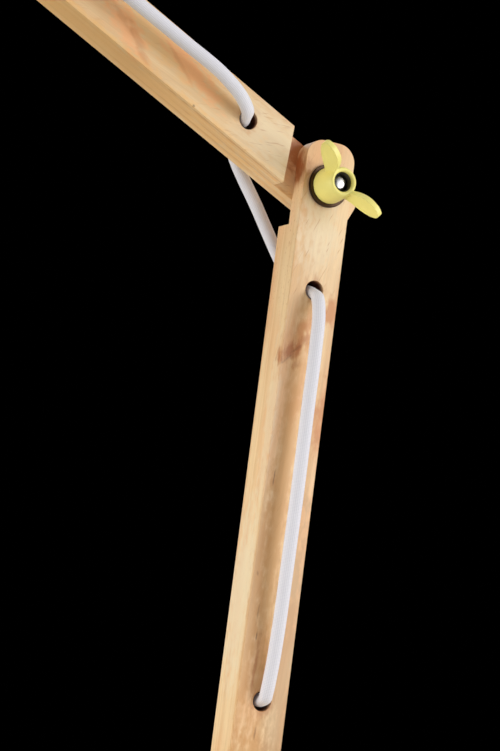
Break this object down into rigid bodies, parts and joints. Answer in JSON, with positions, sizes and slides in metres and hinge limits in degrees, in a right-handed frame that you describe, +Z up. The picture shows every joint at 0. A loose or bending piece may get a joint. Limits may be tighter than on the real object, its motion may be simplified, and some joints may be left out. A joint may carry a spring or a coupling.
{
  "type": "table lamp",
  "caption": "Wooden table lamp: lapped pine arms on a weighted base, held by yellow wing nuts, with a white textile cord threaded through the arms.",
  "frame": {"origin": "middle of the underside of the felt, on the surface the lamp stands on", "axes": "+Z up; the bars' front faces and wing nuts look towards -Y; +X to the right seen from the front"},
  "size_m": [0.4378, 0.277, 0.5576],
  "materials": {
    "pine": "satin",
    "felt": "matte",
    "steel": "satin",
    "zinc_steel": "satin",
    "dark_washer": "satin",
    "lemon_enamel": "satin",
    "brass": "satin",
    "white_plastic": "satin",
    "ceramic": "matte",
    "wire": "matte",
    "shade_lacquer": "satin",
    "cap_metal": "satin",
    "opal_glass": "satin",
    "braid": "matte",
    "strap": "matte",
    "pin_metal": "polished"
  },
  "bodies": {
    "base": {"felt_pad": "felt", "base_disc": "pine", "ballast_plate": "steel", "ballast_screws": "steel", "base_post": "pine", "post_screws": "steel", "base_bolt": "zinc_steel", "cord_inner": "braid", "cord_bush": "white_plastic", "cord_relief": "white_plastic", "cord_lead": "braid", "switch_bottom": "white_plastic", "switch_top": "white_plastic", "switch_screws": "steel", "switch_terminals": "brass", "cord_link": "braid", "cord_coil": "braid", "coil_tie": "strap", "cord_tail": "braid", "plug_body": "white_plastic", "plug_pins": "pin_metal"},
    "lower_arm": {"lower_arm": "pine", "base_washer": "dark_washer", "elbow_washer": "dark_washer", "cord_lower": "braid", "cord_base": "braid"},
    "upper_arm": {"upper_arm": "pine", "elbow_bolt": "zinc_steel", "head_bolt": "zinc_steel", "cord_upper": "braid", "cord_elbow": "braid"},
    "head": {"head_bar": "pine", "head_washer": "dark_washer", "holder_nipple": "brass", "nipple_nut": "brass", "holder_cap": "white_plastic", "holder_body": "white_plastic", "holder_ring": "white_plastic", "holder_insert": "ceramic", "holder_sleeve": "brass", "holder_contact": "brass", "holder_leads": "wire", "shade": "shade_lacquer", "bulb_cap": "cap_metal", "bulb_glass": "opal_glass", "cord_head": "braid"},
    "base_nut": {"base_wing_nut": "lemon_enamel"},
    "elbow_nut": {"elbow_wing_nut": "lemon_enamel"},
    "head_nut": {"head_wing_nut": "lemon_enamel"},
    "rocker": {"switch_rocker": "white_plastic"}
  },
  "joints": [
    {"name": "base_tilt", "type": "hinge", "parent": "base", "child": "lower_arm", "pos_m": [0, 0, 0.072], "axis": [0, 1, 0], "range_deg": [-35, 35], "deforming": ["cord_base"]},
    {"name": "elbow_fold", "type": "hinge", "parent": "lower_arm", "child": "upper_arm", "pos_m": [0.043, 0, 0.3689], "axis": [0, -1, 0], "range_deg": [-60, 45], "deforming": ["cord_elbow"]},
    {"name": "head_tilt", "type": "hinge", "parent": "upper_arm", "child": "head", "pos_m": [-0.20572, 0, 0.53666], "axis": [0, 1, 0], "range_deg": [-35, 60], "deforming": ["cord_head"]},
    {"name": "base_nut_turn", "type": "hinge", "parent": "lower_arm", "child": "base_nut", "pos_m": [0, 0, 0.072], "axis": [0, -1, 0], "range_deg": [0, 270]},
    {"name": "elbow_nut_turn", "type": "hinge", "parent": "lower_arm", "child": "elbow_nut", "pos_m": [0.043, 0, 0.3689], "axis": [0, -1, 0], "range_deg": [0, 270]},
    {"name": "head_nut_turn", "type": "hinge", "parent": "head", "child": "head_nut", "pos_m": [-0.20572, 0, 0.53666], "axis": [0, -1, 0], "range_deg": [0, 270]},
    {"name": "switch_rock", "type": "hinge", "parent": "base", "child": "rocker", "pos_m": [-0.095, 0.173, 0.014], "axis": [0, 1, 0], "range_deg": [-18, 0]}
  ]
}
